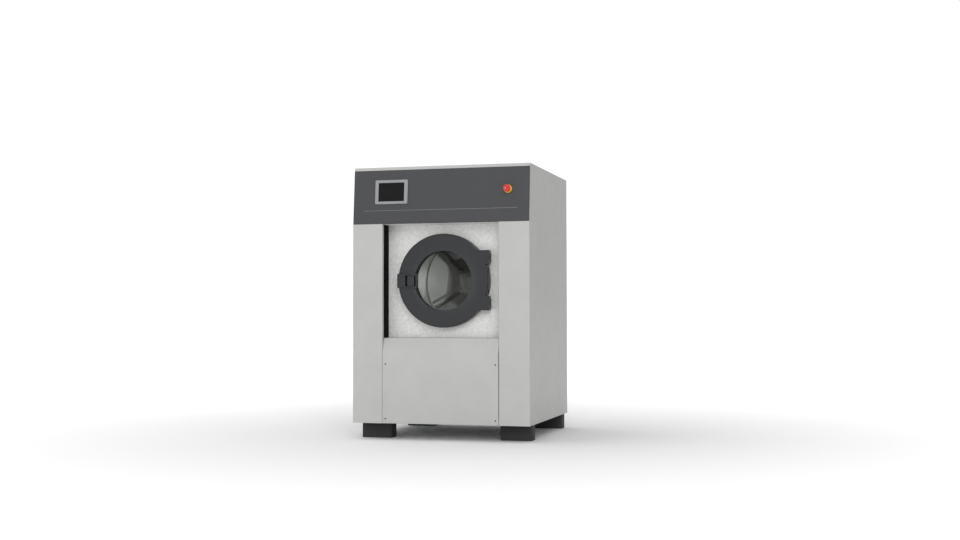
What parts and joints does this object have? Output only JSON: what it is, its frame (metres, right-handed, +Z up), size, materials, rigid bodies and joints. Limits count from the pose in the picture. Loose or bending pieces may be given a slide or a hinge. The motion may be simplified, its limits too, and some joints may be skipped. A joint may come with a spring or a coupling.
{
  "type": "tumble dryer",
  "caption": "Free-standing commercial tumble dryer with a round porthole door in a recessed front, a leaning control fascia with touchscreen and emergency stop, and a belt-driven drum.",
  "frame": {"origin": "on the floor, at the centre of the overall footprint", "axes": "+Z up, +X to the machine's right as its front is faced, +Y from the door side to the back"},
  "size_m": [0.96, 1.0328, 1.436],
  "materials": {
    "casing_paint": "light grey satin powder coat",
    "fascia_paint": "dark grey satin powder coat",
    "door_paint": "dark grey fine-texture coat",
    "frame_paint": "black powder coat",
    "recess_steel": "embossed stainless steel",
    "drum_steel": "smooth stainless steel",
    "galvanised_sheet": "zinc coated",
    "plain_steel": "turned steel",
    "cast_iron": "painted casting",
    "motor_paint": "satin enamel",
    "black_plastic": "matt",
    "bezel_plastic": "silver-grey satin",
    "screen_black": "gloss black glass",
    "red_plastic": "gloss",
    "yellow_plastic": "gloss",
    "door_glass": "clear toughened glass",
    "foot_rubber": "matt moulded",
    "seal_rubber": "matt"
  },
  "bodies": {
    "cabinet": {"foot_front_left": "foot_rubber", "foot_front_right": "foot_rubber", "foot_rear_left": "foot_rubber", "foot_rear_right": "foot_rubber", "base_rail_left": "frame_paint", "base_rail_right": "frame_paint", "base_tray": "galvanised_sheet", "post_front_left": "frame_paint", "post_front_right": "frame_paint", "side_panel_left": "casing_paint", "side_panel_right": "casing_paint", "top_panel": "casing_paint", "rear_panel": "casing_paint", "cable_gland": "black_plastic", "front_column_left": "casing_paint", "front_column_right": "casing_paint", "lower_front_panel": "casing_paint", "front_bulkhead": "recess_steel", "rear_bulkhead": "galvanised_sheet", "control_fascia": "fascia_paint", "touchscreen_bezel": "bezel_plastic", "touchscreen_display": "screen_black", "estop_collar": "yellow_plastic", "estop_contact_block": "black_plastic", "control_box": "galvanised_sheet", "door_gasket": "seal_rubber", "hinge_bracket_upper": "door_paint", "hinge_bracket_lower": "door_paint", "hinge_pin_upper": "plain_steel", "hinge_pin_lower": "plain_steel", "latch_keeper": "plain_steel", "drum_housing": "galvanised_sheet", "bearing_housing": "cast_iron", "drum_bearing_front": "plain_steel", "drum_bearing_rear": "plain_steel", "drive_motor": "motor_paint", "drive_belt": "seal_rubber", "blower_housing": "galvanised_sheet", "blower_motor": "motor_paint", "exhaust_spigot": "galvanised_sheet", "heater_box": "galvanised_sheet", "heater_element": "plain_steel", "lint_screen": "drum_steel"},
    "door": {"door_ring": "door_paint", "door_glass": "door_glass", "door_glass_retainer": "door_paint", "door_handle_housing": "door_paint", "lever_pin": "plain_steel"},
    "latch": {"latch_lever": "door_paint"},
    "estop_stem": {"estop_plunger": "black_plastic"},
    "estop_head": {"estop_button": "red_plastic"},
    "drum": {"drum_shell": "drum_steel", "drum_back_plate": "drum_steel", "drum_lifter_1": "drum_steel", "drum_lifter_2": "drum_steel", "drum_lifter_3": "drum_steel", "drum_shaft": "plain_steel", "drum_pulley": "cast_iron"},
    "motor_rotor": {"motor_pulley": "cast_iron"},
    "blower_rotor": {"blower_wheel": "galvanised_sheet"}
  },
  "joints": [
    {"name": "door_swing", "type": "hinge", "parent": "cabinet", "child": "door", "pos_m": [0.24, -0.42, 0.834], "axis": [0, 0, 1], "range_deg": [0, 110]},
    {"name": "latch_pull", "type": "hinge", "parent": "door", "child": "latch", "pos_m": [-0.199, -0.428, 0.834], "axis": [0, 0, -1], "range_deg": [-9, 18], "stiffness_Nm_per_rad": 1.5},
    {"name": "estop_push", "type": "slide", "parent": "cabinet", "child": "estop_stem", "axis": [0, 0.9969, -0.0792], "range_m": [0, 0.005]},
    {"name": "estop_twist", "type": "hinge", "parent": "estop_stem", "child": "estop_head", "pos_m": [0.364, -0.48653, 1.30347], "axis": [0, 0.9969, -0.0792], "range_deg": [0, 35], "stiffness_Nm_per_rad": 0.3},
    {"name": "drum_spin", "type": "hinge", "parent": "cabinet", "child": "drum", "pos_m": [0, 0, 0.834], "axis": [0, 1, 0], "continuous": true},
    {"name": "motor_spin", "type": "hinge", "parent": "cabinet", "child": "motor_rotor", "pos_m": [0.29, 0.325, 0.245], "axis": [0, 1, 0], "continuous": true},
    {"name": "blower_spin", "type": "hinge", "parent": "cabinet", "child": "blower_rotor", "pos_m": [-0.3, 0.2, 0.29], "axis": [1, 0, 0], "continuous": true}
  ],
  "couplings": [
    {"joint": "motor_spin", "follows": "drum_spin", "ratio": 5.375}
  ]
}
